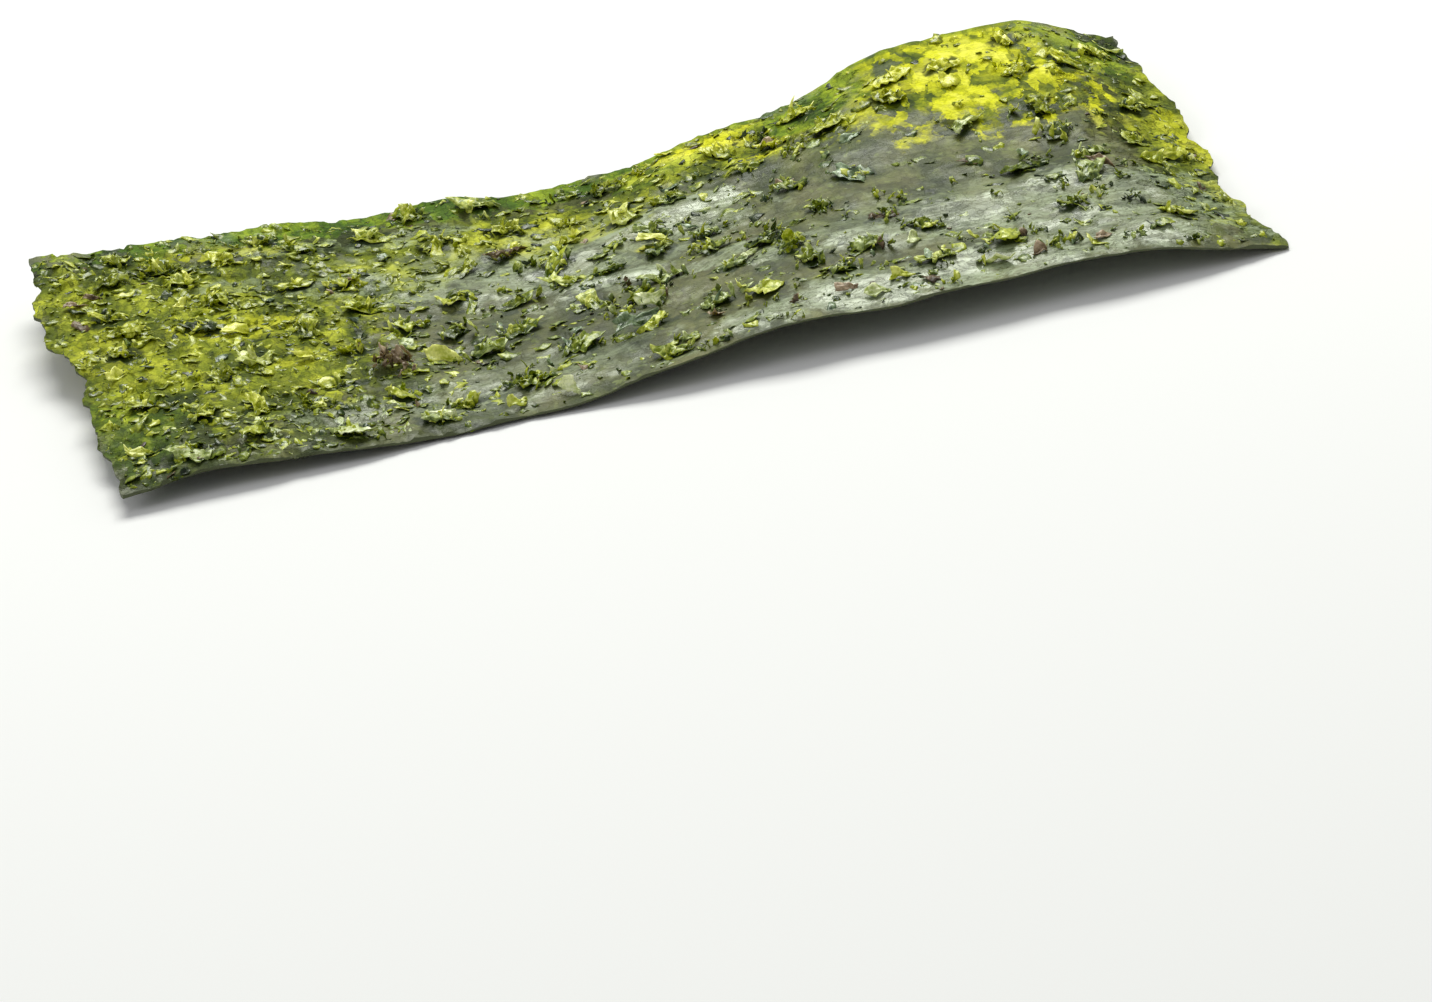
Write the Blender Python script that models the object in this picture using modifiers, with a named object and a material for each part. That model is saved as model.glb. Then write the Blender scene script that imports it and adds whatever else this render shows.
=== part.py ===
# One snack-cut sheet of toasted nori, lying on its own wave: a thin crisp leaf with two
# knife-cut long edges, two torn short edges and curled flakes of seaweed on its upper face.
# Metres, +Z up. X runs along the long side, Y from the front edge to the back edge.

import math
import random

import bmesh
import bpy

# Driving dimensions of the sheet
LENGTH = 0.095          # long side: half of a full 190 mm sheet
WIDTH = 0.0525          # short side: a quarter of a full 210 mm sheet
THICKNESS = 0.00026     # pressed leaf, with its grain
COLUMNS = 40            # cells along the length
ROWS = 36               # cells across the width

# The wave, each pair of values at the front edge and at the back edge
SAG_CENTRE = (-0.0200, -0.0030)
SAG_DEPTH = (0.0007, 0.0031)
SAG_LEFT_REACH = (0.0090, 0.0250)
SAG_RIGHT_REACH = (0.0080, 0.0120)
HUMP_HEIGHT = (0.00245, 0.0037)
HUMP_RISE_START = (-0.0130, 0.0160)
HUMP_RISE_END = (0.0090, 0.0305)
HUMP_FALL_START = (0.0360, 0.0385)
HUMP_FALL_END = (0.0490, 0.0485)
HUMP_LIFT_POWER = 1.6   # the back hump climbs late, near the back edge

# The long shallow valley between the raised front lip and the hump
VALLEY_DEPTH = 0.0008
VALLEY_CENTRE = 0.0015
VALLEY_REACH = 0.0090
VALLEY_START = -0.0060
VALLEY_END = 0.0120

# Small curl at the left end of the back edge, and two low swells: at the front left and
# where the back edge sags
LEFT_CURL_HEIGHT = 0.0006
LEFT_CURL_REACH = 0.0080
FRONT_SWELL = {"height": 0.0007, "centre": -0.0390, "reach": 0.0055}
BACK_SWELL = {"height": 0.0009, "centre": -0.0125, "reach": 0.0050}

# Low creases along the long side: distance from the middle line, slope, height, half
# width, and where along the length each one starts and ends
CREASES = (
    {"y": -0.0205, "slope": -0.02, "height": 0.00028, "reach": 0.0026, "from": -0.010, "to": 0.044},
    {"y": -0.0105, "slope": 0.09, "height": 0.00026, "reach": 0.0020, "from": -0.004, "to": 0.036},
    {"y": -0.0020, "slope": -0.25, "height": 0.00030, "reach": 0.0018, "from": -0.020, "to": 0.010},
    {"y": 0.0085, "slope": 0.28, "height": 0.00030, "reach": 0.0018, "from": -0.010, "to": 0.014},
    {"y": 0.0170, "slope": 0.02, "height": 0.00022, "reach": 0.0020, "from": -0.034, "to": -0.006},
)
CREASE_FADE = 0.0060

# Fine cockling of the dried leaf: two crossing waves that run aslant
COCKLE_HEIGHT = 0.00010
COCKLE_PITCH_X = 0.0125
COCKLE_PITCH_Y = 0.0090
COCKLE_SLANTS = (0.8, -0.45)
COCKLE_SHIFT = 1.1

# Slopes that set the sheet down on its own lowest points
REST_SLOPE_X = -0.0131
REST_SLOPE_Y = 0.0490

# The four edges: slow bulges of the torn short ones, their teeth in two sizes, and the
# slight drift of the knife-cut long ones
LEFT_BULGE = {"height": 0.0012, "centre": 0.0130, "reach": 0.0110}
RIGHT_BULGE = {"height": 0.0005, "centre": 0.0120, "reach": 0.0080}
RIGHT_NOTCH = {"height": -0.0013, "centre": -0.0140, "reach": 0.0075}
TEETH = ({"pitch": 0.0044, "depth": 0.00050}, {"pitch": 0.0021, "depth": 0.00028})
TEETH_SEEDS = {"left": 5, "right": 8}
EDGE_PULL = 0.0090      # how far in the outline still moves the grid
CUT_DRIFTS = ({"depth": 0.00022, "pitch": 0.0230}, {"depth": 0.00011, "pitch": 0.0087})
CUT_SHIFTS = {"front": 0.0, "back": 2.0}

# The curled flakes: bent, crumpled chips that lie on the leaf, fused by their low end
FLAKE_SEED = 11
FLAKE_COUNT = 98
FLAKE_LENGTH = (0.0020, 0.0042)
FLAKE_WIDTH = (0.0013, 0.0027)
FLAKE_THICKNESS = 0.00022
FLAKE_CURL = (12.0, 36.0)       # degrees, over the flake's length
FLAKE_LEAN = (3.0, 8.0)         # degrees, at its low end
FLAKE_CRUMPLE = 0.00012
FLAKE_END_JITTER = 0.13         # shares of the length and of the half width
FLAKE_SIDE_JITTER = (0.5, 1.15)
FLAKE_EMBED = 0.00013
FLAKE_MARGIN = 0.0027           # clear of the edges
FLAKE_GAP = 0.0040              # least distance between two flakes' middles
FLAKE_CROWD_END = -0.030
FLAKE_THIN_START = 0.015
FLAKE_THINNING = 0.55


def mix(pair, share):
    return pair[0] + (pair[1] - pair[0]) * share


def smooth_step(start, end, value):
    share = min(max((value - start) / (end - start), 0.0), 1.0)
    return share * share * (3.0 - 2.0 * share)


def bump(value, centre, reach):
    return math.exp(-((value - centre) / reach) ** 2)


def sag(x, back):
    centre = mix(SAG_CENTRE, back)
    reach = SAG_LEFT_REACH if x < centre else SAG_RIGHT_REACH
    return -mix(SAG_DEPTH, back) * bump(x, centre, mix(reach, back))


def hump(x, back):
    rise = smooth_step(mix(HUMP_RISE_START, back), mix(HUMP_RISE_END, back), x)
    fall = smooth_step(mix(HUMP_FALL_START, back), mix(HUMP_FALL_END, back), x)
    height = mix(HUMP_HEIGHT, back ** HUMP_LIFT_POWER)
    return height * rise * (1.0 - fall)


def valley(x, y):
    begun = smooth_step(VALLEY_START, VALLEY_END, x)
    return -VALLEY_DEPTH * bump(y, VALLEY_CENTRE, VALLEY_REACH) * begun


def creases(x, y):
    height = 0.0
    for crease in CREASES:
        line = crease["y"] + crease["slope"] * x
        starts = smooth_step(crease["from"] - CREASE_FADE, crease["from"] + CREASE_FADE, x)
        ends = 1.0 - smooth_step(crease["to"] - CREASE_FADE, crease["to"] + CREASE_FADE, x)
        height += crease["height"] * bump(y, line, crease["reach"]) * starts * ends
    return height


def swell(x, side):
    return side["height"] * bump(x, side["centre"], side["reach"])


def cockle(x, y):
    x_turns = x / COCKLE_PITCH_X
    y_turns = y / COCKLE_PITCH_Y
    along = math.sin(2 * math.pi * (x_turns + COCKLE_SLANTS[0] * y_turns))
    across = math.sin(2 * math.pi * (y_turns + COCKLE_SLANTS[1] * x_turns) + COCKLE_SHIFT)
    return COCKLE_HEIGHT * (along + across)


def sheet_height(x, y):
    # Height of the leaf's middle surface above its own mean plane
    back = min(max(y / WIDTH + 0.5, 0.0), 1.0)
    height = sag(x, back) + hump(x, back) + valley(x, y)
    height += LEFT_CURL_HEIGHT * back * smooth_step(LEFT_CURL_REACH - LENGTH / 2, -LENGTH / 2, x)
    height += swell(x, FRONT_SWELL) * (1.0 - back) + swell(x, BACK_SWELL) * back ** 2
    height += creases(x, y) + cockle(x, y)
    return height + REST_SLOPE_X * x + REST_SLOPE_Y * y


def tooth_rows(seed):
    # Random tips of the teeth, a row for each size, from the front corner to the back one
    rng = random.Random(seed)
    return [[rng.uniform(-1.0, 1.0) for _ in range(int(WIDTH / row["pitch"]) + 3)] for row in TEETH]


def torn(y, rows):
    # Straight flanks between the tips, so that the edge is jagged and not wavy
    depth = 0.0
    for row, tips in zip(TEETH, rows):
        place = (y + WIDTH / 2) / row["pitch"] + 0.5
        first = int(place)
        share = place - first
        depth += row["depth"] * (tips[first] * (1.0 - share) + tips[first + 1] * share)
    return depth


def left_edge(y, rows):
    return -LENGTH / 2 - swell(y, LEFT_BULGE) - torn(y, rows)


def right_edge(y, rows):
    return LENGTH / 2 + swell(y, RIGHT_BULGE) + swell(y, RIGHT_NOTCH) + torn(y, rows)


def cut_drift(x, shift):
    waves = (row["depth"] * math.sin(2 * math.pi * x / row["pitch"] + shift) for row in CUT_DRIFTS)
    return sum(waves)


def place_on_outline(x, y, left_rows, right_rows):
    # Moves a point of the plain rectangle so that the rectangle's rim follows the four edges
    left_share = smooth_step(EDGE_PULL - LENGTH / 2, -LENGTH / 2, x)
    right_share = smooth_step(LENGTH / 2 - EDGE_PULL, LENGTH / 2, x)
    front_share = smooth_step(EDGE_PULL - WIDTH / 2, -WIDTH / 2, y)
    back_share = smooth_step(WIDTH / 2 - EDGE_PULL, WIDTH / 2, y)
    new_x = x + left_share * (left_edge(y, left_rows) + LENGTH / 2)
    new_x += right_share * (right_edge(y, right_rows) - LENGTH / 2)
    new_y = y + front_share * cut_drift(x, CUT_SHIFTS["front"])
    new_y += back_share * cut_drift(x, CUT_SHIFTS["back"])
    return new_x, new_y


def seaweed_material():
    material = bpy.data.materials.new("toasted nori")
    material.use_nodes = True
    shader = material.node_tree.nodes["Principled BSDF"]
    shader.inputs["Base Color"].default_value = (0.055, 0.065, 0.030, 1.0)
    shader.inputs["Roughness"].default_value = 0.45
    shader.inputs["Metallic"].default_value = 0.0
    return material


def mesh_object(name, bm, collection):
    mesh = bpy.data.meshes.new(name)
    bm.to_mesh(mesh)
    bm.free()
    made = bpy.data.objects.new(name, mesh)
    collection.objects.link(made)
    return made


def make_leaf(collection):
    left_rows = tooth_rows(TEETH_SEEDS["left"])
    right_rows = tooth_rows(TEETH_SEEDS["right"])
    bm = bmesh.new()
    bmesh.ops.create_grid(bm, x_segments=COLUMNS, y_segments=ROWS, size=0.5)
    for vert in bm.verts:
        x, y = place_on_outline(vert.co.x * LENGTH, vert.co.y * WIDTH, left_rows, right_rows)
        vert.co = (x, y, sheet_height(x, y))
    bmesh.ops.triangulate(bm, faces=bm.faces[:])
    leaf = mesh_object("nori_sheet", bm, collection)
    wall = leaf.modifiers.new("thickness", "SOLIDIFY")
    wall.thickness = THICKNESS
    wall.offset = 0.0
    wall.use_even_offset = False
    return leaf


def flake_density(x):
    # Flakes crowd the left third and thin out to the right
    return 1.0 - FLAKE_THINNING * smooth_step(FLAKE_CROWD_END, FLAKE_THIN_START, x)


def flake_places(rng):
    places = []
    half_x = LENGTH / 2 - FLAKE_MARGIN
    half_y = WIDTH / 2 - FLAKE_MARGIN
    while len(places) < FLAKE_COUNT:
        x = rng.uniform(-half_x, half_x)
        y = rng.uniform(-half_y, half_y)
        crowded = any(math.hypot(x - other[0], y - other[1]) < FLAKE_GAP for other in places)
        if rng.random() < flake_density(x) and not crowded:
            places.append((x, y))
    return places


def crumple_flake(bm, rng):
    # Bends a flat unit square into a curled chip with uneven corners, its low end at the leaf
    length = rng.uniform(*FLAKE_LENGTH)
    width = rng.uniform(*FLAKE_WIDTH)
    curl = math.radians(rng.uniform(*FLAKE_CURL))
    lean = math.radians(rng.uniform(*FLAKE_LEAN))
    radius = length / curl
    for vert in bm.verts:
        share = vert.co.x + 0.5 + rng.uniform(-FLAKE_END_JITTER, FLAKE_END_JITTER)
        across = vert.co.y * width * rng.uniform(*FLAKE_SIDE_JITTER)
        angle = lean + curl * share
        along = radius * (math.sin(angle) - math.sin(lean))
        lift = radius * (math.cos(lean) - math.cos(angle)) + rng.uniform(0.0, FLAKE_CRUMPLE) * share
        vert.co = (along - length / 2, across, lift)


def make_flake(name, x, y, rng, collection):
    heading = rng.uniform(0.0, 2 * math.pi)
    bm = bmesh.new()
    bmesh.ops.create_grid(bm, x_segments=2, y_segments=2, size=0.5)
    crumple_flake(bm, rng)
    bmesh.ops.triangulate(bm, faces=bm.faces[:])
    bmesh.ops.solidify(bm, geom=bm.faces[:], thickness=FLAKE_THICKNESS)
    bmesh.ops.recalc_face_normals(bm, faces=bm.faces[:])
    lowest = min(vert.co.z for vert in bm.verts)
    for vert in bm.verts:
        place_x = x + vert.co.x * math.cos(heading) - vert.co.y * math.sin(heading)
        place_y = y + vert.co.x * math.sin(heading) + vert.co.y * math.cos(heading)
        lift = THICKNESS / 2 - FLAKE_EMBED + vert.co.z - lowest
        vert.co = (place_x, place_y, sheet_height(place_x, place_y) + lift)
    return mesh_object(name, bm, collection)


def fuse(leaf, flakes):
    union = leaf.modifiers.new("flakes", "BOOLEAN")
    union.operation = "UNION"
    union.solver = "EXACT"
    union.operand_type = "COLLECTION"
    union.collection = flakes
    graph = bpy.context.evaluated_depsgraph_get()
    fused = bpy.data.meshes.new_from_object(leaf.evaluated_get(graph), depsgraph=graph)
    leaf.modifiers.clear()
    leaf.data = fused
    for flake in list(flakes.objects):
        bpy.data.objects.remove(flake, do_unlink=True)
    bpy.data.collections.remove(flakes)


def shells(bm):
    # Groups of vertices that hang together
    unseen = set(bm.verts)
    found = []
    while unseen:
        group = {unseen.pop()}
        to_visit = list(group)
        while to_visit:
            vert = to_visit.pop()
            near = {edge.other_vert(vert) for edge in vert.link_edges} & unseen
            unseen -= near
            group |= near
            to_visit.extend(near)
        found.append(group)
    return found


def set_on_ground(bm):
    # The middle of the outline goes to the origin, and the lowest point to the ground
    xs = [vert.co.x for vert in bm.verts]
    ys = [vert.co.y for vert in bm.verts]
    lowest = min(vert.co.z for vert in bm.verts)
    shift = (-(min(xs) + max(xs)) / 2, -(min(ys) + max(ys)) / 2, -lowest)
    bmesh.ops.translate(bm, verts=bm.verts[:], vec=shift)


def tidy_mesh(leaf):
    # One body of triangles, without loose scraps
    bm = bmesh.new()
    bm.from_mesh(leaf.data)
    scraps = sorted(shells(bm), key=len)[:-1]
    bmesh.ops.delete(bm, geom=[vert for group in scraps for vert in group], context="VERTS")
    bmesh.ops.triangulate(bm, faces=bm.faces[:])
    set_on_ground(bm)
    bm.to_mesh(leaf.data)
    bm.free()


def build_sheet():
    for old in list(bpy.data.objects):
        bpy.data.objects.remove(old, do_unlink=True)
    sheet_parts = bpy.data.collections.new("nori sheet")
    flakes = bpy.data.collections.new("flakes")
    bpy.context.scene.collection.children.link(sheet_parts)
    bpy.context.scene.collection.children.link(flakes)
    leaf = make_leaf(sheet_parts)
    rng = random.Random(FLAKE_SEED)
    for number, (x, y) in enumerate(flake_places(rng)):
        make_flake("flake_%03d" % number, x, y, rng, flakes)
    fuse(leaf, flakes)
    tidy_mesh(leaf)
    leaf.data.materials.clear()
    leaf.data.materials.append(seaweed_material())


build_sheet()
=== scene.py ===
import math
import random

import bmesh
import bpy
from mathutils import Matrix, Vector, kdtree, noise


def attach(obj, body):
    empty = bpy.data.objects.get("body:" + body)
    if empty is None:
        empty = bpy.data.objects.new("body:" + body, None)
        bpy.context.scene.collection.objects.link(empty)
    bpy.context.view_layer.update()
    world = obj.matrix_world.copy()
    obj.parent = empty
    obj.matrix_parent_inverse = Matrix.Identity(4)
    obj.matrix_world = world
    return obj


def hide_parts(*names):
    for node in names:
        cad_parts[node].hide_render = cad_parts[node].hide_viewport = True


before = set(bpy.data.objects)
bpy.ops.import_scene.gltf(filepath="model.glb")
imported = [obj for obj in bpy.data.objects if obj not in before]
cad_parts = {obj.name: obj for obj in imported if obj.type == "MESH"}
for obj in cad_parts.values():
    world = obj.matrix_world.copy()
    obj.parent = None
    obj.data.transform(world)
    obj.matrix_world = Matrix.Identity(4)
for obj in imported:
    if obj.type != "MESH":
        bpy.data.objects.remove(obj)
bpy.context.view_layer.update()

mm = 0.001
fullTurn = 2.0 * math.pi
noise.seed_set(7)  # its vectors would change with the clock otherwise
pieceCollection = bpy.data.collections.new("nori pieces")
bpy.context.scene.collection.children.link(pieceCollection)
print("frame loaded")

sheet = {
    "length": 95.0 * mm,
    "width": 52.5 * mm,
    "thickness": 0.17 * mm,
    "skin": 0.03 * mm,  # of the leaf left below a scrap's lowest point
    "under": 0.13 * mm,  # the underside below the middle surface, as on the solid
    "columns": 288,
    "rows": 165,
    "setDown": (0.478 * mm, 0.009 * mm, 2.068 * mm),  # middle of the outline and lowest point to the origin
}

# The wave of the sheet, each pair at the front edge and at the back edge
wave = {
    "sagCentre": (-20.0 * mm, -3.0 * mm),
    "sagDepth": (0.7 * mm, 3.1 * mm),
    "sagLeft": (9.0 * mm, 25.0 * mm),
    "sagRight": (8.0 * mm, 12.0 * mm),
    "humpHeight": (2.45 * mm, 3.7 * mm),
    "humpRiseStart": (-13.0 * mm, 16.0 * mm),
    "humpRiseEnd": (9.0 * mm, 30.5 * mm),
    "humpFallStart": (36.0 * mm, 38.5 * mm),
    "humpFallEnd": (49.0 * mm, 48.5 * mm),
    "humpLiftPower": 1.6,
    "valleyDepth": 0.8 * mm,
    "valleyCentre": 1.5 * mm,
    "valleyReach": 9.0 * mm,
    "valleySpan": (-6.0 * mm, 12.0 * mm),
    "curlHeight": 0.6 * mm,
    "curlReach": 8.0 * mm,
    "frontSwell": {"height": 0.7 * mm, "centre": -39.0 * mm, "reach": 5.5 * mm},
    "backSwell": {"height": 0.9 * mm, "centre": -12.5 * mm, "reach": 5.0 * mm},
    "cockleHeight": 0.1 * mm,
    "cocklePitch": (12.5 * mm, 9.0 * mm),
    "cockleSlants": (0.8, -0.45),
    "cockleShift": 1.1,
    "restSlopes": (-0.0131, 0.049),
}

creases = (
    {"y": -20.5 * mm, "slope": -0.02, "height": 0.28 * mm, "reach": 2.6 * mm, "span": (-10 * mm, 44 * mm)},
    {"y": -10.5 * mm, "slope": 0.09, "height": 0.26 * mm, "reach": 2.0 * mm, "span": (-4 * mm, 36 * mm)},
    {"y": -2.0 * mm, "slope": -0.25, "height": 0.3 * mm, "reach": 1.8 * mm, "span": (-20 * mm, 10 * mm)},
    {"y": 8.5 * mm, "slope": 0.28, "height": 0.3 * mm, "reach": 1.8 * mm, "span": (-10 * mm, 14 * mm)},
    {"y": 17.0 * mm, "slope": 0.02, "height": 0.22 * mm, "reach": 2.0 * mm, "span": (-34 * mm, -6 * mm)},
)
creaseFade = 6.0 * mm

# Torn short edges with teeth in three sizes, and long edges that drift a little from the knife's line
edges = {
    "leftBulge": {"height": 1.2 * mm, "centre": 13.0 * mm, "reach": 11.0 * mm},
    "rightBulge": {"height": 0.5 * mm, "centre": 12.0 * mm, "reach": 8.0 * mm},
    "rightNotch": {"height": -1.3 * mm, "centre": -14.0 * mm, "reach": 7.5 * mm},
    "teeth": ({"pitch": 4.4 * mm, "depth": 0.5 * mm}, {"pitch": 2.1 * mm, "depth": 0.28 * mm}),
    "fineTeeth": {"pitch": 0.75 * mm, "depth": 0.2 * mm},
    "seeds": {"left": 5, "right": 8},
    "fineSeeds": {"left": 21, "right": 34},
    "pull": 9.0 * mm,
    "drifts": ({"depth": 0.22 * mm, "pitch": 23.0 * mm}, {"depth": 0.11 * mm, "pitch": 8.7 * mm}),
    "shifts": {"front": 0.0, "back": 2.0},
    "nicks": {"depth": 0.1 * mm, "pitch": 1.1 * mm, "row": (7.0, 0.5)},  # small nicks that the knife left
    "reach": 3.0 * mm,  # no tooth or bulge goes further out
}


def mix(start, end, share):
    return start + (end - start) * share


def smoothStep(start, end, value):
    share = min(max((value - start) / (end - start), 0.0), 1.0)
    return share * share * (3.0 - 2.0 * share)


def bump(value, centre, reach):
    return math.exp(-((value - centre) / reach) ** 2)


def swell(value, side):
    return side["height"] * bump(value, side["centre"], side["reach"])


def sheetHeight(x, y):
    # Middle surface of the leaf above its own mean plane
    back = min(max(y / sheet["width"] + 0.5, 0.0), 1.0)
    sagMiddle = mix(*wave["sagCentre"], back)
    sagReach = mix(*wave["sagLeft" if x < sagMiddle else "sagRight"], back)
    height = -mix(*wave["sagDepth"], back) * bump(x, sagMiddle, sagReach)
    rise = smoothStep(mix(*wave["humpRiseStart"], back), mix(*wave["humpRiseEnd"], back), x)
    fall = smoothStep(mix(*wave["humpFallStart"], back), mix(*wave["humpFallEnd"], back), x)
    height += mix(*wave["humpHeight"], back ** wave["humpLiftPower"]) * rise * (1.0 - fall)
    begun = smoothStep(*wave["valleySpan"], x)
    height -= wave["valleyDepth"] * bump(y, wave["valleyCentre"], wave["valleyReach"]) * begun
    leftEnd = -sheet["length"] / 2
    height += wave["curlHeight"] * back * smoothStep(leftEnd + wave["curlReach"], leftEnd, x)
    height += swell(x, wave["frontSwell"]) * (1.0 - back) + swell(x, wave["backSwell"]) * back ** 2
    for crease in creases:
        line = crease["y"] + crease["slope"] * x
        starts, ends = crease["span"]
        share = smoothStep(starts - creaseFade, starts + creaseFade, x)
        share *= 1.0 - smoothStep(ends - creaseFade, ends + creaseFade, x)
        height += crease["height"] * bump(y, line, crease["reach"]) * share
    xTurns = x / wave["cocklePitch"][0]
    yTurns = y / wave["cocklePitch"][1]
    along = math.sin(fullTurn * (xTurns + wave["cockleSlants"][0] * yTurns))
    across = math.sin(fullTurn * (yTurns + wave["cockleSlants"][1] * xTurns) + wave["cockleShift"])
    height += wave["cockleHeight"] * (along + across)
    return height + wave["restSlopes"][0] * x + wave["restSlopes"][1] * y


def toothTips(seed, pitches):
    # Random tips of the teeth from the front corner to the back one, one row for each size
    rng = random.Random(seed)
    counts = [int(sheet["width"] / pitch) + 3 for pitch in pitches]
    return [[rng.uniform(-1.0, 1.0) for _ in range(count)] for count in counts]


def tornDepth(y, rows, tips):
    depth = 0.0
    for row, rowTips in zip(rows, tips):
        place = (y + sheet["width"] / 2) / row["pitch"] + 0.5
        first = int(place)
        share = place - first
        depth += row["depth"] * (rowTips[first] * (1.0 - share) + rowTips[first + 1] * share)
    return depth


def edgeTips(side):
    coarse = toothTips(edges["seeds"][side], [row["pitch"] for row in edges["teeth"]])
    return coarse + toothTips(edges["fineSeeds"][side], [edges["fineTeeth"]["pitch"]])


tipRows = {side: edgeTips(side) for side in ("left", "right")}
toothRows = edges["teeth"] + (edges["fineTeeth"],)


def cutDrift(x, side):
    shift = edges["shifts"][side]
    drift = sum(row["depth"] * math.sin(fullTurn * x / row["pitch"] + shift) for row in edges["drifts"])
    nicks = edges["nicks"]
    spot = Vector((x / nicks["pitch"], shift * nicks["row"][0], nicks["row"][1]))
    return drift + nicks["depth"] * noise.noise(spot)


def placeOnOutline(x, y):
    # Moves a point of the plain rectangle so that its rim follows the four edges
    halfX, halfY, pull = sheet["length"] / 2, sheet["width"] / 2, edges["pull"]
    leftOut = swell(y, edges["leftBulge"]) + tornDepth(y, toothRows, tipRows["left"])
    rightOut = swell(y, edges["rightBulge"]) + swell(y, edges["rightNotch"])
    rightOut += tornDepth(y, toothRows, tipRows["right"])
    newX = x - smoothStep(pull - halfX, -halfX, x) * leftOut
    newX += smoothStep(halfX - pull, halfX, x) * rightOut
    newY = y + smoothStep(pull - halfY, -halfY, y) * cutDrift(x, "front")
    newY += smoothStep(halfY - pull, halfY, y) * cutDrift(x, "back")
    return newX, newY


def onLeaf(x, y, margin):
    # True where a small scrap would lie on the leaf and not beyond its torn or cut edges
    halfX, halfY = sheet["length"] / 2, sheet["width"] / 2
    if abs(x) > halfX + edges["reach"] or abs(y) > halfY:
        return False
    left = -halfX - swell(y, edges["leftBulge"]) - tornDepth(y, toothRows, tipRows["left"])
    right = halfX + swell(y, edges["rightBulge"]) + swell(y, edges["rightNotch"])
    right += tornDepth(y, toothRows, tipRows["right"])
    front, back = cutDrift(x, "front") - halfY, cutDrift(x, "back") + halfY
    return left + margin < x < right - margin and front + margin < y < back - margin


relief = {
    "streaks": {"height": 0.012 * mm, "size": (2.0 * mm, 3.2 * mm), "turn": 0.3},  # broad and shallow
    "wrinkles": {"height": 0.034 * mm, "size": (1.3 * mm, 2.6 * mm), "turn": -0.5},
    "crumbs": {"height": 0.42 * mm, "size": (1.5 * mm, 1.9 * mm), "turn": 0.4},  # the loose mat
    "crumbShare": (0.05, 1.0),  # of that height, on the smooth skin and in the mat
    "crumbLift": 0.4,
    "hollows": 2.2,  # their depth between the crumbs
    "plateSize": (2.0 * mm, 2.4 * mm),  # scraps that were pressed flat, each with its own small tilt
    "plateTilt": (0.03, 0.13),
    "plateWarp": {"depth": 0.35, "scale": 1.7},
    "plateDraw": 5.3,
}

# The mat of loose crumpled scraps: a carpet at the left and along the back, a smooth skin elsewhere
mat = {
    "warp": 3.0 * mm,
    "warpSize": 6.0 * mm,
    "left": (-27.0 * mm, -8.0 * mm),
    "back": (5.0 * mm, 18.0 * mm),
    "backFade": (14.0 * mm, 34.0 * mm),
    "right": (36.0 * mm, 45.0 * mm),
    "patchSize": 5.0 * mm,
    "patches": (0.12, 0.34),
    "shares": {"back": 0.65, "right": 0.7, "patches": 0.55},
}


def matShare(x, y):
    warp = mat["warp"] * noise.noise(Vector((x, y, 0.0)) / mat["warpSize"])
    left = 1.0 - smoothStep(*mat["left"], x + 2.0 * warp)
    back = mat["shares"]["back"] * smoothStep(*mat["back"], y + warp)
    back *= 1.0 - smoothStep(*mat["backFade"], x)
    right = mat["shares"]["right"] * smoothStep(*mat["right"], x + warp)
    cloud = noise.noise(Vector((x, y, 4.0 * mm)) / mat["patchSize"])
    patches = mat["shares"]["patches"] * smoothStep(*mat["patches"], cloud)
    return max(left, back, right, patches)


def wrinkle(x, y, kind):
    form = relief[kind]
    turned = (x * math.cos(form["turn"]) + y * math.sin(form["turn"])) / form["size"][0]
    across = (y * math.cos(form["turn"]) - x * math.sin(form["turn"])) / form["size"][1]
    return form["height"] * noise.noise(Vector((turned, across, form["turn"] * 10.0)))


def plates(x, y, tilt):
    # Each scrap is a small plane of its own: its tilt comes from the place of the cell's middle
    warp = relief["plateWarp"]
    spot = Vector((x / relief["plateSize"][0], y / relief["plateSize"][1], 0.0))
    spot += warp["depth"] * noise.noise_vector(spot * warp["scale"])
    spot.z = 0.0
    middle = noise.voronoi(spot)[1][0]
    lean = noise.noise_vector(middle * relief["plateDraw"])
    away = spot - middle
    return tilt * relief["plateSize"][1] * 2.0 * (away.x * lean.x + away.y * lean.y)


def crumbRelief(x, y):
    # Ragged crumbs: the fold lines of the noise stand up, and the hollows between them are wide
    fold = abs(wrinkle(x, y, "crumbs")) / relief["crumbs"]["height"]
    return (1.0 - relief["hollows"] * fold) * mix(*relief["crumbShare"], matShare(x, y))


def upperRelief(x, y):
    fold = abs(wrinkle(x, y, "wrinkles"))  # thin raised lines where the skin wrinkled
    crumbs = relief["crumbLift"] * relief["crumbs"]["height"] * crumbRelief(x, y)
    height = wrinkle(x, y, "streaks") - fold + crumbs
    return height + plates(x, y, mix(*relief["plateTilt"], matShare(x, y)))


def onSheet(x, y, lift):
    # A point of the upper face in the frame, lifted off it by that much, and never through the underside
    down = sheet["setDown"]
    above = max(sheet["thickness"] + upperRelief(x, y) + lift, sheet["skin"])
    height = sheetHeight(x, y) - sheet["under"] + above
    return Vector((x + down[0], y + down[1], height + down[2]))


def finishPiece(name, bm, material, sharpAngle):
    mesh = bpy.data.meshes.new(name)
    bm.to_mesh(mesh)
    bm.free()
    mesh.shade_smooth()
    mesh.set_sharp_from_angle(angle=math.radians(sharpAngle))
    mesh.materials.append(material)
    piece = bpy.data.objects.new(name, mesh)
    pieceCollection.objects.link(piece)
    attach(piece, "root")
    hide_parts("nori_sheet")
    return piece


def newNode(tree, kind, values=None, **settings):
    node = tree.nodes.new(kind)
    row, column = divmod(len(tree.nodes), 12)
    node.location = (200 * column, -300 * row)  # in rows, in the order of making
    for name, value in settings.items():
        setattr(node, name, value)
    for socket, value in (values or {}).items():
        node.inputs[socket].default_value = value
    return node


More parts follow.
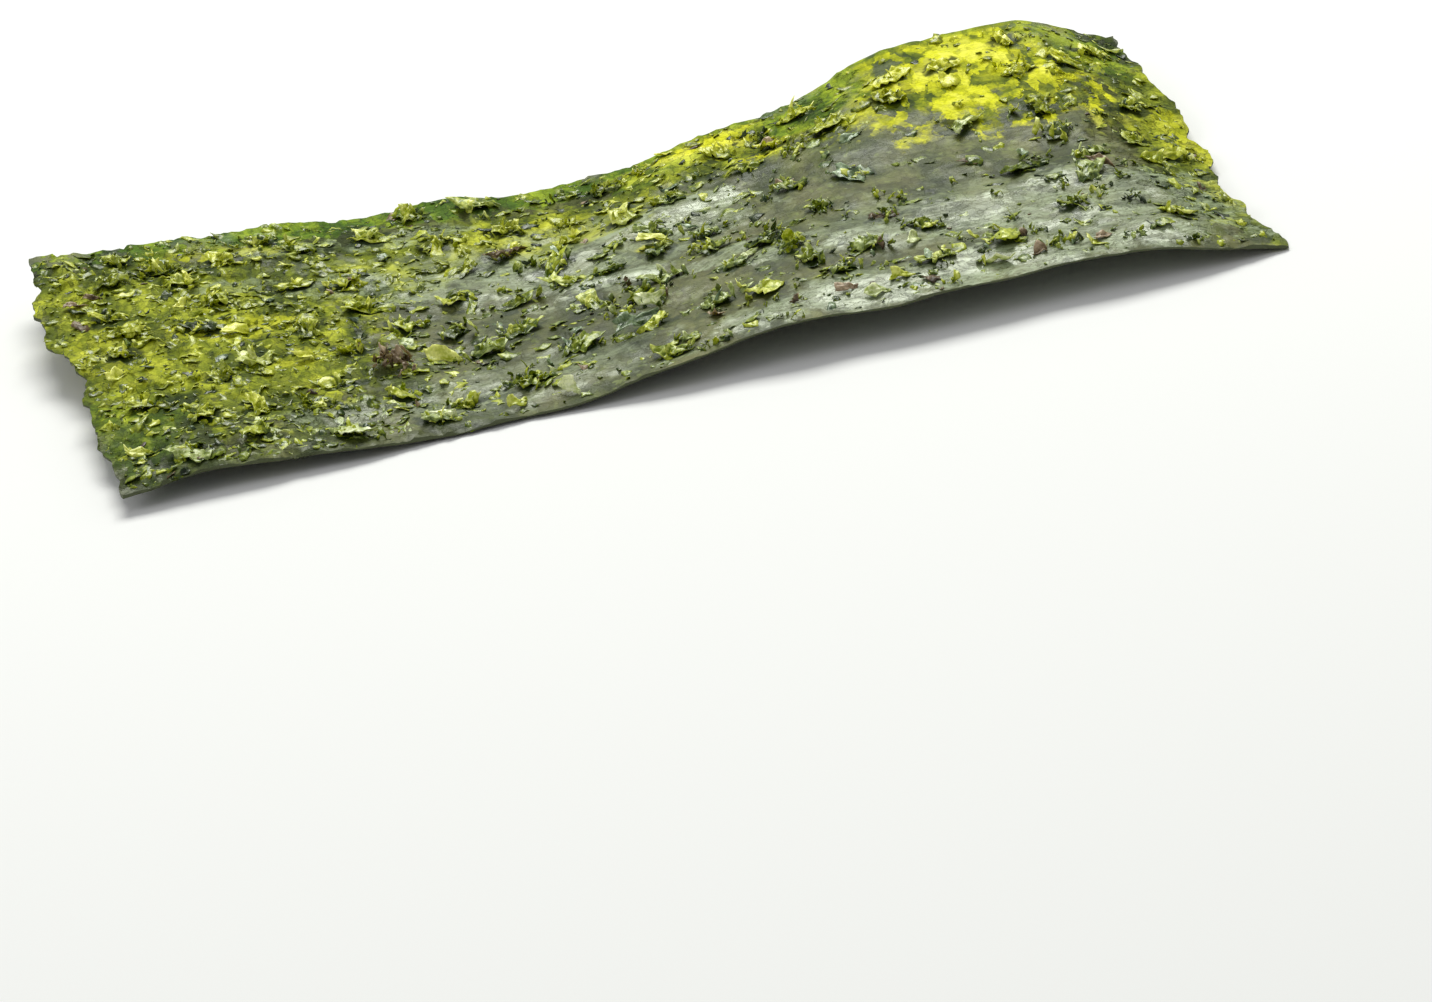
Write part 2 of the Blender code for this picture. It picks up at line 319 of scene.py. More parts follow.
def plug(tree, socket, value):
    # Links another node's output, or sets a plain value
    if hasattr(value, "is_linked"):
        tree.links.new(value, socket)
    elif socket.type == "RGBA":
        socket.default_value = (*value, 1.0)
    else:
        socket.default_value = value


def newRamp(tree, stops, source):
    ramp = newNode(tree, "ShaderNodeValToRGB")
    parts = ramp.color_ramp.elements
    while len(parts) < len(stops):
        parts.new(0.5)
    for part, (place, colour) in zip(parts, stops):
        part.position = place
        part.color = (*colour, 1.0)
    plug(tree, ramp.inputs["Fac"], source)
    return ramp.outputs["Color"]


def mixColours(tree, first, second, share):
    node = newNode(tree, "ShaderNodeMix", data_type="RGBA")
    for number, value in ((0, share), (6, first), (7, second)):
        plug(tree, node.inputs[number], value)
    return node.outputs[2]


def doMath(tree, operation, *values, clamp=False):
    node = newNode(tree, "ShaderNodeMath", operation=operation, use_clamp=clamp)
    for socket, value in zip(node.inputs, values):
        plug(tree, socket, value)
    return node.outputs[0]


def doVector(tree, operation, first, second=None):
    node = newNode(tree, "ShaderNodeVectorMath", operation=operation)
    plug(tree, node.inputs[0], first)
    if second is not None:
        plug(tree, node.inputs["Scale" if operation == "SCALE" else 1], second)
    return node.outputs["Value" if operation in ("LENGTH", "DOT_PRODUCT") else "Vector"]


def mapRange(tree, source, low, high, toLow=0.0, toHigh=1.0):
    values = {"From Min": low, "From Max": high, "To Min": toLow, "To Max": toHigh}
    node = newNode(tree, "ShaderNodeMapRange", values, interpolation_type="SMOOTHSTEP")
    plug(tree, node.inputs["Value"], source)
    return node.outputs["Result"]


def onCoords(tree, kind, coords, values, **settings):
    # A texture or a mapping that reads these coordinates
    node = newNode(tree, kind, values, **settings)
    plug(tree, node.inputs["Vector"], coords)
    return node.outputs


def readAttribute(tree, name):
    return newNode(tree, "ShaderNodeAttribute", attribute_name=name).outputs["Fac"]


def addBump(tree, distance, height, normal=None):
    node = newNode(tree, "ShaderNodeBump", {"Distance": distance})
    plug(tree, node.inputs["Height"], height)
    if normal is not None:
        plug(tree, node.inputs["Normal"], normal)
    return node.outputs[0]


def newGroup(name, inputs, outputs):
    # Takes coordinates and the named numbers, and puts out a value under each name
    group = bpy.data.node_groups.new(name, "ShaderNodeTree")
    group.interface.new_socket("Vector", in_out="INPUT", socket_type="NodeSocketVector")
    for socket, value in inputs.items():
        made = group.interface.new_socket(socket, in_out="INPUT", socket_type="NodeSocketFloat")
        made.default_value = value
    for socket in outputs:
        group.interface.new_socket(socket, in_out="OUTPUT", socket_type="NodeSocketFloat")
    ins = newNode(group, "NodeGroupInput")
    outs = newNode(group, "NodeGroupOutput")
    return group, ins.outputs, outs.inputs


scrapForm = {
    "stretch": {"Scale": (1.0, 0.62, 1.0), "Rotation": (0.0, 0.0, 0.3)},
    "warp": {"Scale": 1.4, "Detail": 5.0, "Roughness": 0.6},
    "seam": 0.1,
}
half = (0.5, 0.5, 0.5)


def scrapGroup():
    # Mosaic of scraps: two random tones for each, the seams between them, and a height that tilts each one
    names = ("Tone", "Second", "Seam", "Height")
    group, ins, outs = newGroup("scraps", {"Per Metre": 450.0, "Ragged": 0.6}, names)
    scaled = doVector(group, "SCALE", ins["Vector"], ins["Per Metre"])
    stretched = onCoords(group, "ShaderNodeMapping", scaled, scrapForm["stretch"])[0]
    cloud = onCoords(group, "ShaderNodeTexNoise", stretched, scrapForm["warp"])["Color"]
    pushed = doVector(group, "SCALE", doVector(group, "SUBTRACT", cloud, half), ins["Ragged"])
    warped = doVector(group, "ADD", stretched, pushed)
    cells = onCoords(group, "ShaderNodeTexVoronoi", warped, {"Scale": 1.0}, voronoi_dimensions="2D")
    rims = onCoords(group, "ShaderNodeTexVoronoi", warped, {"Scale": 1.0}, voronoi_dimensions="2D",
                    feature="DISTANCE_TO_EDGE")
    tones = newNode(group, "ShaderNodeSeparateColor")
    plug(group, tones.inputs[0], cells["Color"])
    away = doVector(group, "SUBTRACT", warped, cells["Position"])
    lean = doVector(group, "SUBTRACT", cells["Color"], half)
    results = {
        "Tone": tones.outputs[2],
        "Second": tones.outputs[1],
        "Seam": mapRange(group, rims["Distance"], 0.0, scrapForm["seam"], 1.0, 0.0),
        "Height": doVector(group, "DOT_PRODUCT", away, lean),
    }
    for name, result in results.items():
        group.links.new(result, outs[name])
    return group


# Fine fibres, a finer even grain, broad soft patches, streaks and thin creases: stretch and noise of each
fibreForms = {
    "Fibres": ((0.9, 0.5, 1.0), {"Scale": 0.8, "Detail": 5.0, "Roughness": 0.6, "Distortion": 1.2}),
    "Grain": ((0.9, 0.5, 1.0), {"Scale": 2.2, "Detail": 3.0, "Roughness": 0.55}),
    "Patches": ((0.9, 0.5, 1.0), {"Scale": 0.28, "Detail": 3.0, "Roughness": 0.55}),
    "Streaks": ((0.4, 0.9, 1.0), {"Scale": 0.9, "Detail": 4.0, "Roughness": 0.6, "Distortion": 0.8}),
    "Creases": ((0.5, 0.8, 1.0), {"Scale": 1.3, "Detail": 4.0, "Roughness": 0.6, "Distortion": 1.0}),
}
fibreTurn = (0.0, 0.0, 0.12)
fibreClear = (0.32, 0.68)


def fibreGroup():
    group, ins, outs = newGroup("fibre grain", {"Per Metre": 1000.0}, fibreForms)
    scaled = doVector(group, "SCALE", ins["Vector"], ins["Per Metre"])
    for name, (stretch, values) in fibreForms.items():
        drawn = onCoords(group, "ShaderNodeMapping", scaled, {"Scale": stretch, "Rotation": fibreTurn})[0]
        clear = mapRange(group, onCoords(group, "ShaderNodeTexNoise", drawn, values)["Fac"], *fibreClear)
        if name == "Creases":  # thin lines that stand up between wide hollows
            clear = doMath(group, "ABSOLUTE", doMath(group, "SUBTRACT", clear, 0.5))
            clear = doMath(group, "MULTIPLY_ADD", clear, -2.0, 1.0)
        group.links.new(clear, outs[name])
    return group


# Zones of the leaf. Glow, Olive and Green paint the light that comes through the leaf into its colour:
# painted backlight, strongest in Glow, while Olive and Green are the leaf's own olive and green with part of
# that painted backlight. Mat is where it is crumpled, and Shine where it is glossy.
# Each spot: its middle and its reach along X and Y in millimetres, and its share
zones = {
    "Glow": {"fray": 0.8, "rim": (0.56, 1.02), "spots": (
        (32.6, 17.0, 12.6, 10.8, 1.0), (33.0, 24.0, 10.5, 6.5, 1.0),
        (26.5, 15.0, 6.0, 7.0, 0.8), (38.0, 12.0, 6.5, 7.5, 1.0),
        (10.0, 23.5, 8.5, 4.6, 1.0), (14.8, 17.0, 3.0, 2.5, 0.8),
        (47.4, 2.0, 2.8, 7.0, 0.55), (46.8, -12.5, 2.2, 4.0, 0.5),
        (42.5, 4.5, 2.6, 2.2, 0.5), (1.8, 3.2, 1.9, 1.6, 1.0),
        (-34.0, 3.0, 6.0, 3.0, 0.5), (-43.0, 2.0, 5.0, 8.0, 0.25),
        (-29.5, -5.2, 3.0, 2.5, 0.4), (-31.0, 22.0, 8.0, 3.0, 0.4),
        (-4.0, 14.5, 9.0, 5.0, 0.3),
    )},
    "Olive": {"fray": 0.45, "rim": (0.68, 0.96), "spots": (
        (-38.0, 3.0, 19.0, 26.0, 1.0), (-20.0, 12.0, 14.0, 8.0, 1.0),
        (-5.0, 15.0, 13.0, 8.0, 1.0), (48.0, -2.0, 7.0, 28.0, 1.0),
        (30.0, 21.0, 21.0, 12.5, 1.0), (12.0, 22.0, 14.0, 8.5, 1.0),
    )},
    "Mat": {"fray": 0.6, "rim": (0.68, 0.96), "spots": (
        (-40.0, 0.0, 22.0, 34.0, 1.0), (-12.0, 22.0, 26.0, 10.0, 1.0),
        (14.0, 21.0, 12.0, 7.0, 1.0), (46.0, 0.0, 7.0, 30.0, 1.0),
    )},
    "Shine": {"fray": 0.6, "rim": (0.62, 1.0), "spots": (  # ridges that are glossier, with a painted sheen in their colour as well
        (22.0, -23.0, 27.0, 4.2, 1.0), (37.0, -15.0, 14.0, 9.5, 0.9),
        (-9.5, 6.2, 3.4, 3.2, 1.0), (-6.0, 2.2, 4.4, 2.4, 1.0),
        (-1.0, -1.8, 5.0, 2.0, 1.0), (5.0, -5.0, 5.0, 2.2, 1.0),
        (10.5, -9.0, 4.6, 2.3, 1.0), (17.5, -11.8, 6.4, 2.3, 1.0),
        (26.5, -13.8, 7.0, 2.6, 1.0), (0.8, 9.4, 4.6, 2.4, 1.0),
        (6.5, 10.0, 5.6, 2.6, 1.0), (-4.5, 14.4, 5.5, 2.2, 0.7),
        (-16.0, 18.8, 5.5, 2.2, 0.8), (-14.0, 8.6, 5.0, 3.2, 0.7),
        (-18.5, 5.0, 5.0, 2.2, 0.7), (-24.0, 10.0, 6.0, 2.6, 0.8),
        (-32.0, 13.0, 4.5, 2.2, 0.7), (-27.0, 20.3, 5.0, 2.2, 0.75),
        (-28.0, -19.0, 6.5, 3.0, 0.5), (-14.0, -19.0, 13.0, 6.0, 0.5),
        (-3.0, 4.0, 16.0, 9.0, 0.65), (27.0, -11.0, 18.0, 8.0, 0.45),
    )},
    "Green": {"fray": 0.8, "rim": (0.56, 1.02), "spots": (
        (-20.0, 25.5, 34.0, 4.2, 1.0), (20.0, 22.0, 6.0, 8.0, 0.9),
        (-45.0, -16.0, 5.0, 10.0, 0.5), (44.0, 20.0, 4.5, 7.0, 0.7),
        (14.0, 26.4, 12.0, 2.0, 0.8), (32.0, 26.6, 13.0, 1.6, 0.7),
        (40.5, 24.0, 3.5, 3.5, 0.6), (5.0, 21.0, 5.0, 3.0, 0.6),
    )},
}


zoneWarp = {"Scale": 300.0, "Detail": 5.0, "Roughness": 0.65}


def zoneGroup():
    # its Glow, Olive and Green outputs carry painted backlight
    group, ins, outs = newGroup("backlight and surface zones", {"Fray": 0.9, "Scrap": 0.5, "Scrap Share": 0.0}, zones)
    warp = onCoords(group, "ShaderNodeTexNoise", ins["Vector"], zoneWarp)["Fac"]
    frayed = doMath(group, "MULTIPLY", doMath(group, "SUBTRACT", warp, 0.5), ins["Fray"])
    scrap = doMath(group, "SUBTRACT", ins["Scrap"], 0.5)
    frayed = doMath(group, "MULTIPLY_ADD", scrap, ins["Scrap Share"], frayed)
    for name, zone in zones.items():
        ownFray = doMath(group, "MULTIPLY", frayed, zone["fray"])
        total = 0.0
        for x, y, reachX, reachY, share in zone["spots"]:
            offset = doVector(group, "SUBTRACT", ins["Vector"], Vector((x, y, 0.0)) * mm)
            shares = (1.0 / (reachX * mm), 1.0 / (reachY * mm), 0.0)
            away = doVector(group, "LENGTH", doVector(group, "MULTIPLY", offset, shares))
            mask = mapRange(group, doMath(group, "ADD", away, ownFray), *zone["rim"], share, 0.0)
            total = doMath(group, "MAXIMUM", mask, total)
        group.links.new(total, outs[name])
    return group


groups = {"scraps": scrapGroup(), "fibres": fibreGroup(), "zones": zoneGroup()}
print("shader groups made")


def placeGroup(tree, name, coords, values):
    node = newNode(tree, "ShaderNodeGroup", node_tree=groups[name])
    for socket, value in {"Vector": coords, **values}.items():
        plug(tree, node.inputs[socket], value)
    return node.outputs


def newMaterial(name, settings):
    material = bpy.data.materials.new(name)
    material.use_nodes = True
    tree = material.node_tree
    shader = tree.nodes["Principled BSDF"]
    for socket, value in settings.items():
        shader.inputs[socket].default_value = value
    coords = newNode(tree, "ShaderNodeTexCoord").outputs["Object"]
    return material, tree, shader, coords


leafLook = {
    "gloss": {"Specular IOR Level": 0.13, "Coat Roughness": 0.2, "Coat IOR": 1.42},
    "film": ((0.1, (0.012, 0.022, 0.002)), (0.36, (0.052, 0.07, 0.014)), (0.6, (0.098, 0.126, 0.024)),
             (0.9, (0.23, 0.3, 0.04))),
    "brownish": ((0.1, (0.02, 0.02, 0.005)), (0.5, (0.088, 0.088, 0.028)), (0.9, (0.19, 0.196, 0.07))),
    # the glow ramp is painted backlight, and the olive and green ramps are the leaf's colours with part of
    # the painted backlight
    "olive": ((0.1, (0.012, 0.028, 0.001)), (0.36, (0.07, 0.1, 0.002)), (0.6, (0.22, 0.265, 0.006)),
              (0.9, (0.62, 0.66, 0.04))),
    "glow": ((0.08, (0.05, 0.09, 0.001)), (0.3, (0.22, 0.27, 0.001)), (0.44, (0.54, 0.56, 0.001)),
             (0.6, (0.8, 0.8, 0.01)), (0.9, (0.96, 0.94, 0.1))),
    "green": ((0.1, (0.008, 0.03, 0.001)), (0.5, (0.09, 0.18, 0.003)), (0.9, (0.4, 0.52, 0.018))),
    "pale": (0.25, 0.31, 0.07),
    "bits": {"streaks": 0.3, "clear": (1.06, 1.22), "share": 0.5},  # pale scraps in the film
    "paintedSheen": (0.4, 0.47, 0.29),  # painted sheen of the ridges
    "paintedSheenShare": (0.36, 0.95),
    "hairlines": {"clear": (0.72, 0.98), "left": 0.25},  # of the sheen, on the thin creases
    "cracks": {"clear": (0.3, 0.9), "share": 0.22},  # darkening of the thin creases
    "seam": (0.01, 0.018, 0.002),
    "seams": {"big": 0.3, "share": 0.45},
    # painted shade round the large flakes, broken up by the small scraps' tone
    "paintedShade": (0.01, 0.026, 0.001),
    "paintedShadeMix": {"scraps": 0.9, "clear": (0.65, 1.15), "share": 0.88},
    "rim": (0.095, 0.11, 0.055),
    # crest share: painted light on the crumbs' crests and painted shade in the hollows between them
    "shares": {"big": 0.22, "small": 0.14, "fibres": 0.22, "patches": 0.46, "crest": 0.22},  # of the tone
    "toneShift": -0.12,
    "scraps": ((430.0, 1.5), (1000.0, 1.5), (2100.0, 1.3)),  # big, small, specks: per metre, how ragged
    "fibres": 900.0,
    "fray": 2.2,
    "scrapShare": 0.85,
    "holes": {"clear": (0.56, 0.7), "left": 0.62},  # of the painted glow, in the scraps that are thicker and let less light through
    "mosaic": 0.55,  # of the painted glow's tone, from scrap to scrap
    "mosaicShares": (0.4, 0.6),  # of the big and of the small scraps
    "bigBump": 0.1 * mm,
    "smallBump": (0.05 * mm, 0.4 * mm),
    "creaseBump": 0.04 * mm,
    "fineBump": 0.02 * mm,
    "sheen": (0.06, 0.15),
    "shine": 3.2,  # so much more on the ridges
    "dulling": 0.85,  # of the sheen, where the leaf is crumpled or carries the painted glow
    "roughness": {"film": 0.5, "mat": 0.8, "ridge": -0.18},
}


def leafColour(tree, big, small, specks, fibres, zoneMasks, pieces, hairlines):
    look = leafLook
    # the crest share paints light on the crumbs' crests and shade in their hollows
    sources = {"big": big["Tone"], "small": small["Tone"], "fibres": fibres["Fibres"],
               "patches": fibres["Patches"], "crest": readAttribute(tree, "crest")}
    tone = look["toneShift"]
    for name, source in sources.items():
        tone = doMath(tree, "MULTIPLY_ADD", source, look["shares"][name], tone)
    mosaic = doMath(tree, "SUBTRACT", 0.5, pieces)
    mosaic = doMath(tree, "MULTIPLY_ADD", mosaic, look["mosaic"], tone)
    ramps = {name: newRamp(tree, look[name], mosaic if name == "glow" else tone)
             for name in ("film", "brownish", "olive", "green", "glow")}
    colour = mixColours(tree, ramps["film"], ramps["brownish"], fibres["Patches"])
    bits = doMath(tree, "MULTIPLY_ADD", fibres["Streaks"], look["bits"]["streaks"], specks["Tone"])
    bits = doMath(tree, "MULTIPLY", mapRange(tree, bits, *look["bits"]["clear"]), look["bits"]["share"])
    colour = mixColours(tree, colour, look["pale"], bits)
    # the leaf's olive with part of the painted backlight
    colour = mixColours(tree, colour, ramps["olive"], zoneMasks["Olive"])
    # painted sheen on the glossy ridges, broken by the thin creases
    paintedSheen = mapRange(tree, fibres["Streaks"], 0.0, 1.0, *look["paintedSheenShare"])
    paintedSheen = doMath(tree, "MULTIPLY", doMath(tree, "MULTIPLY", paintedSheen, zoneMasks["Shine"]), hairlines)
    colour = mixColours(tree, colour, look["paintedSheen"], paintedSheen)
    # painted backlight: the glow, and the greener light along the back edge
    whole = mapRange(tree, pieces, *look["holes"]["clear"], 1.0, look["holes"]["left"])
    colour = mixColours(tree, colour, ramps["glow"], doMath(tree, "MULTIPLY", zoneMasks["Glow"], whole))
    colour = mixColours(tree, colour, ramps["green"], zoneMasks["Green"])
    cracks = mapRange(tree, hairlines, *look["cracks"]["clear"], look["cracks"]["share"], 0.0)
    colour = mixColours(tree, colour, look["seam"], cracks)
    seams = doMath(tree, "MULTIPLY", small["Seam"], zoneMasks["Mat"])
    seams = doMath(tree, "MULTIPLY_ADD", big["Seam"], look["seams"]["big"], seams, clamp=True)
    colour = mixColours(tree, colour, look["seam"], doMath(tree, "MULTIPLY", seams, look["seams"]["share"]))
    # painted shade round the large flakes
    paintedShade, paintedShadeMix = readAttribute(tree, "paintedShade"), look["paintedShadeMix"]
    shade = doMath(tree, "MULTIPLY_ADD", small["Tone"], paintedShadeMix["scraps"], paintedShade)
    shade = doMath(tree, "MULTIPLY", mapRange(tree, shade, *paintedShadeMix["clear"]), paintedShadeMix["share"])
    colour = mixColours(tree, colour, look["paintedShade"], shade)
    return mixColours(tree, colour, look["rim"], readAttribute(tree, "rim"))


def leafMaterial():
    look = leafLook
    material, tree, shader, coords = newMaterial("leafFilm", look["gloss"])
    big, small, specks = [placeGroup(tree, "scraps", coords, {"Per Metre": size, "Ragged": ragged})
                          for size, ragged in look["scraps"]]
    fibres = placeGroup(tree, "fibres", coords, {"Per Metre": look["fibres"]})
    pieces = doMath(tree, "MULTIPLY", small["Second"], look["mosaicShares"][1])
    pieces = doMath(tree, "MULTIPLY_ADD", big["Second"], look["mosaicShares"][0], pieces)
    fraying = {"Fray": look["fray"], "Scrap": pieces, "Scrap Share": look["scrapShare"]}
    zoneMasks = placeGroup(tree, "zones", coords, fraying)
    hairlines = mapRange(tree, fibres["Creases"], *look["hairlines"]["clear"], 1.0, look["hairlines"]["left"])
    colour = leafColour(tree, big, small, specks, fibres, zoneMasks, pieces, hairlines)
    plug(tree, shader.inputs["Base Color"], colour)

    dull = doMath(tree, "MAXIMUM", zoneMasks["Mat"], zoneMasks["Glow"])
    dull = doMath(tree, "MULTIPLY_ADD", dull, -look["dulling"], 1.0)
    smooth = mapRange(tree, fibres["Streaks"], 0.0, 1.0, *look["sheen"])
    shine = doMath(tree, "MULTIPLY_ADD", zoneMasks["Shine"], look["shine"] - 1.0, 1.0)
    smooth = doMath(tree, "MULTIPLY", doMath(tree, "MULTIPLY", smooth, shine), hairlines)
    plug(tree, shader.inputs["Coat Weight"], doMath(tree, "MULTIPLY", smooth, dull))
    rough = look["roughness"]
    matt = mapRange(tree, dull, 1.0 - look["dulling"], 1.0, rough["mat"], rough["film"])
    glossy = doMath(tree, "MULTIPLY", zoneMasks["Shine"], dull)
    plug(tree, shader.inputs["Roughness"], doMath(tree, "MULTIPLY_ADD", glossy, rough["ridge"], matt))

    least, most = look["smallBump"]
    share = mapRange(tree, zoneMasks["Mat"], 0.0, 1.0, least / most)
    normal = addBump(tree, look["bigBump"], big["Height"])
    normal = addBump(tree, most, doMath(tree, "MULTIPLY", small["Height"], share), normal)
    normal = addBump(tree, look["creaseBump"], fibres["Creases"], normal)
    normal = addBump(tree, look["fineBump"], fibres["Fibres"], normal)
    plug(tree, shader.inputs["Normal"], normal)
    return material


# The large curled flakes, by the same rule and the same draws as the solid's
bigFlakes = {
    "seed": 11,
    "count": 98,
    "length": (2.0 * mm, 4.2 * mm),
    "width": (1.3 * mm, 2.7 * mm),
    "curl": (12.0, 36.0),
    "lean": (3.0, 8.0),
    "crumple": 0.12 * mm,
    "endJitter": 0.13,
    "sideJitter": (0.5, 1.15),
    "embed": 0.16 * mm,
    "margin": 2.7 * mm,
    "gap": 4.0 * mm,
    "crowdEnd": -30.0 * mm,
    "thinStart": 15.0 * mm,
    "thinning": 0.55,
    "cuts": 3,
    "tear": 0.42,
    "folds": ((0.36 * mm, 1.1 * mm), (0.2 * mm, 0.45 * mm)),  # height and size of its crumples
    "lift": 0.42,
    "flatten": 0.7,  # of the lift, on the bare places
    "looksSeed": 111,
    "shade": 0.85,
    # painted backlight: the flakes on the glowing hump are lighter
    "humpPaintedGlow": 0.4,
}
# reach and raggedness of the painted shade round the large flakes
paintedShadeForm = {"reach": 1.9 * mm, "ragged": 0.8, "raggedSize": 0.9 * mm}


def bigFlakePlaces(rng):
    places = []
    halfX = sheet["length"] / 2 - bigFlakes["margin"]
    halfY = sheet["width"] / 2 - bigFlakes["margin"]
    while len(places) < bigFlakes["count"]:
        x = rng.uniform(-halfX, halfX)
        y = rng.uniform(-halfY, halfY)
        crowded = any(math.hypot(x - other[0], y - other[1]) < bigFlakes["gap"] for other in places)
        density = 1.0 - bigFlakes["thinning"] * smoothStep(bigFlakes["crowdEnd"], bigFlakes["thinStart"], x)
        if rng.random() < density and not crowded:
            places.append((x, y))
    return places


flakeDraws = random.Random(bigFlakes["seed"])
tuftMiddles = bigFlakePlaces(flakeDraws)
tuftTree = kdtree.KDTree(len(tuftMiddles))
for number, place in enumerate(tuftMiddles):
    tuftTree.insert((*place, 0.0), number)
tuftTree.balance()


def paintedShadeRound(x, y):
    # Painted shade: dark ragged patches round the large flakes
    ragged = noise.noise(Vector((x, y, 0.0)) / paintedShadeForm["raggedSize"])
    reach = paintedShadeForm["reach"] * (1.0 + paintedShadeForm["ragged"] * ragged)
    return max(0.0, 1.0 - (tuftTree.find((x, y, 0.0))[2] / reach) ** 2)


faceOrder = Vector((1.0, 97.0, 13.0))  # solidify leaves the faces in any order, and this sorts them


def makeLeaf():
    bm = bmesh.new()
    bmesh.ops.create_grid(bm, x_segments=sheet["columns"], y_segments=sheet["rows"], size=0.5)
    rim = bm.faces.layers.float.new("rim")
    crest = bm.verts.layers.float.new("crest")
    paintedShade = bm.verts.layers.float.new("paintedShade")
    for vert in bm.verts:
        x, y = placeOnOutline(vert.co.x * sheet["length"], vert.co.y * sheet["width"])
        # painted light and shade from the crumbs' relief
        vert[crest] = 0.5 + 0.5 * crumbRelief(x, y)
        # painted shade round the large flakes
        vert[paintedShade] = paintedShadeRound(x, y)
        vert.co = onSheet(x, y, -upperRelief(x, y))
    upper = bm.verts[:]
    bmesh.ops.solidify(bm, geom=bm.faces[:], thickness=sheet["thickness"])
    for face in bm.faces:
        face[rim] = 1.0 if abs(face.normal.z) < 0.5 else 0.0
    down = sheet["setDown"]
    for vert in upper:
        vert.co.z += upperRelief(vert.co.x - down[0], vert.co.y - down[1])
    bmesh.ops.recalc_face_normals(bm, faces=bm.faces[:])
    bm.faces.sort(key=lambda face: face.calc_center_median().dot(faceOrder))
    return finishPiece("noriLeaf", bm, leafMaterial(), 50.0)


leaf = makeLeaf()
print("leaf made:", len(leaf.data.polygons), "faces")

flakeThickness = 0.04 * mm
kinds = ("lime", "olive", "pale", "mint", "dark", "brown")
flakeShares = ((26, 46), (36, 41), (22, 5), (5, 1), (9, 6), (2, 1))  # of each kind: right and left
leftKinds = {"fade": (-24.0 * mm, 6.0 * mm), "backCorner": (12.0 * mm, 9.0 * mm)}
flakeMeshes = {kind: bmesh.new() for kind in kinds}
for made in flakeMeshes.values():
    made.verts.layers.float.new("tint")

# Tones of the scraps, from 0 (dark) to 1 (light)
tints = {
    "patchSize": (2.6, 4.2),
    "patchDepth": 1.1,
    "ownShare": 0.5,
    "bareShade": 0.3,
    # painted shade low on each scrap and painted light on its upper parts, within the reach below
    "paintedRootShadeTipLight": (-0.26, 0.16),
    "paintedTipLightReach": 0.55 * mm,
    "speckle": 0.2,
}

# The bare valley below the hump, and the hump itself, carry few scraps: middle and reach along X and Y
bareSpots = {
    "valley": {"x": (26.0 * mm, 12.0 * mm), "y": (3.0 * mm, 9.0 * mm), "share": 0.6},
    "hump": {"x": (30.0 * mm, 10.0 * mm), "y": (20.0 * mm, 8.0 * mm), "share": 0.85},
}


def spotShare(name, x, y):
    return bump(x, *bareSpots[name]["x"]) * bump(y, *bareSpots[name]["y"])


def smoothShare(x, y):
    return min(sum(bareSpots[name]["share"] * spotShare(name, x, y) for name in bareSpots), 1.0)


def patchTint(x, y, rng):
    # Neighbours share a tone, so that light and dark patches of a few millimetres form
    spot = Vector((x / tints["patchSize"][0], y / tints["patchSize"][1], 9.0 * mm)) / mm
    patch = 0.5 + tints["patchDepth"] * noise.noise(spot)
    return mix(patch, rng.random(), tints["ownShare"]) * (1.0 - tints["bareShade"] * smoothShare(x, y))


def pickKind(rng, x, y):
    # Yellow-green ones at the left and on the hump, more pale ones on the grey stretch
    left = 1.0 - smoothStep(*leftKinds["fade"], x)
    if x > leftKinds["backCorner"][0] and y > leftKinds["backCorner"][1]:
        left = 1.0
    return rng.choices(kinds, weights=[mix(a, b, left) for a, b in flakeShares])[0]


def curlChip(bm, rng):
    # Bends the flat chip into a curl with uneven corners, its low end at the leaf
    length = rng.uniform(*bigFlakes["length"])
    width = rng.uniform(*bigFlakes["width"])
    curl = math.radians(rng.uniform(*bigFlakes["curl"]))
    lean = math.radians(rng.uniform(*bigFlakes["lean"]))
    radius = length / curl
    jitter = bigFlakes["endJitter"]
    for vert in bm.verts:
        share = vert.co.x + 0.5 + rng.uniform(-jitter, jitter)
        across = vert.co.y * width * rng.uniform(*bigFlakes["sideJitter"])
        angle = lean + curl * share
        along = radius * (math.sin(angle) - math.sin(lean))
        lift = radius * (math.cos(lean) - math.cos(angle)) + rng.uniform(0.0, bigFlakes["crumple"]) * share
        vert.co = (along - length / 2, across, lift)


crumpling = {"sideways": 0.7, "up": 2.0, "step": 1.7, "offsets": ((11.3, 0.0, 4.1), (0.0, 7.9, 2.6))}


def crumple(bm, folds, seed):
    # Little folds of several sizes: the scrap follows noise, and its outline shrinks where it buckles
    alongX, alongY = (Vector(offset) for offset in crumpling["offsets"])
    for height, size in folds:
        for vert in bm.verts:
            spot = Vector((vert.co.x / size, vert.co.y / size, seed * crumpling["step"]))
            vert.co.x += crumpling["sideways"] * height * noise.noise(spot + alongX)
            vert.co.y += crumpling["sideways"] * height * noise.noise(spot + alongY)
            vert.co.z += crumpling["up"] * height * (0.5 - abs(noise.noise(spot)))


ceiling = 7.45 * mm  # no scrap reaches higher in the frame
leastRoom = 0.1 * mm


